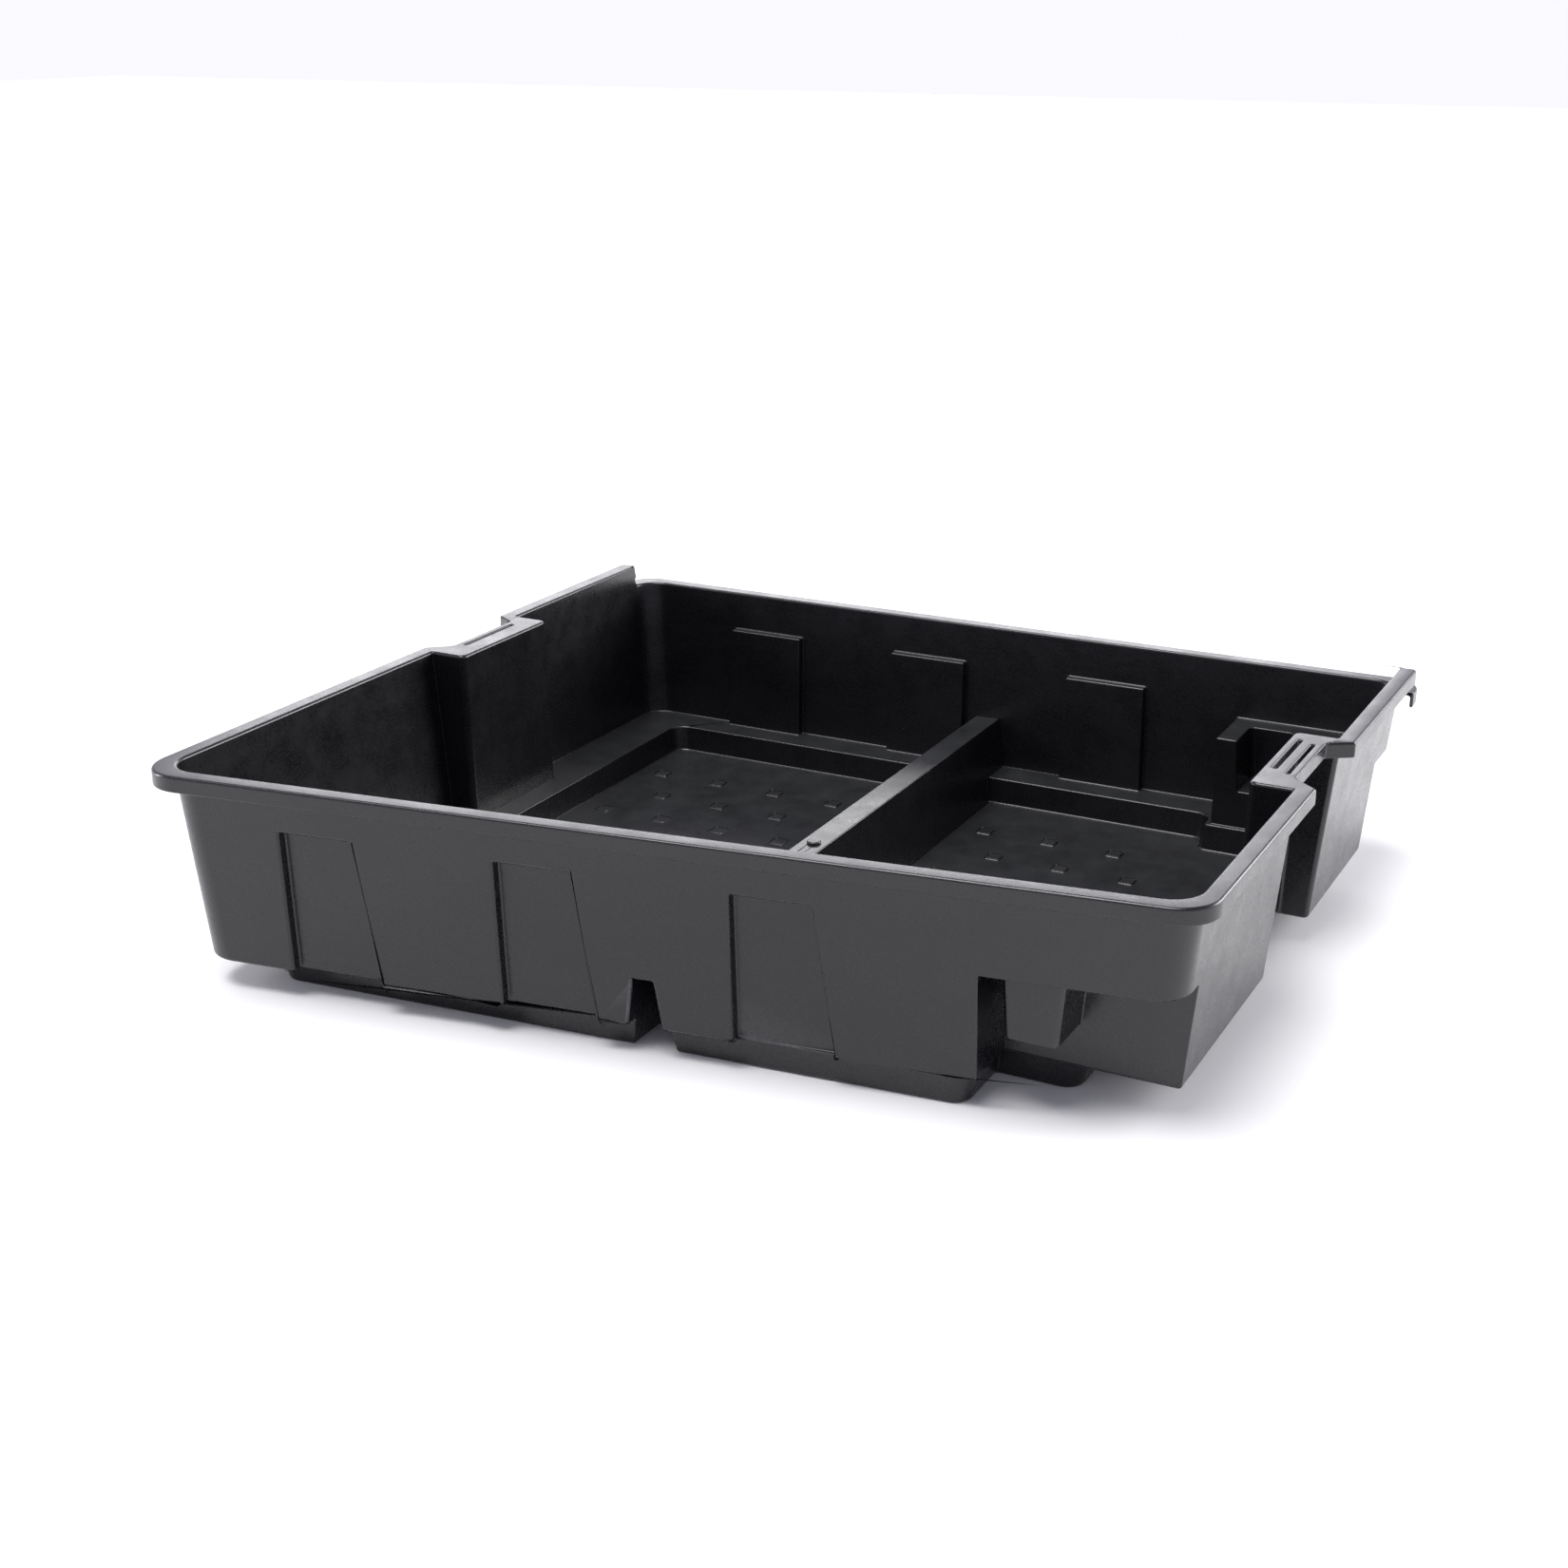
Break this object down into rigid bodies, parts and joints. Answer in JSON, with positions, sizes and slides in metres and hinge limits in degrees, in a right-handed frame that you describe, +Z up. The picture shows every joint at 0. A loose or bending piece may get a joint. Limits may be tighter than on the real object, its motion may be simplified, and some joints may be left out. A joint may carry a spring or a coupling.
{
  "type": "spill containment tray",
  "caption": "Black moulded spill containment tray with a skirted rim, side channels, sunken floor panels and a lift-off divider over a hollow rib",
  "frame": {"origin": "middle of the bounding box, on the floor that the plinths stand on", "axes": "+X along the back wall to the tray's right end, +Y from the askew front wall to the back wall, +Z up"},
  "size_m": [0.8, 0.7402, 0.179],
  "materials": {
    "tray_plastic": "satin moulded polyethylene with a fine grain",
    "clip_plastic": "smooth moulded nylon"
  },
  "bodies": {
    "tray": {"tray": "tray_plastic"},
    "divider": {"divider": "tray_plastic", "clip_front": "clip_plastic", "clip_middle": "clip_plastic"}
  },
  "joints": [
    {"name": "divider_lift", "type": "slide", "parent": "tray", "child": "divider", "axis": [0, 0, 1], "range_m": [0, 0.09]}
  ]
}
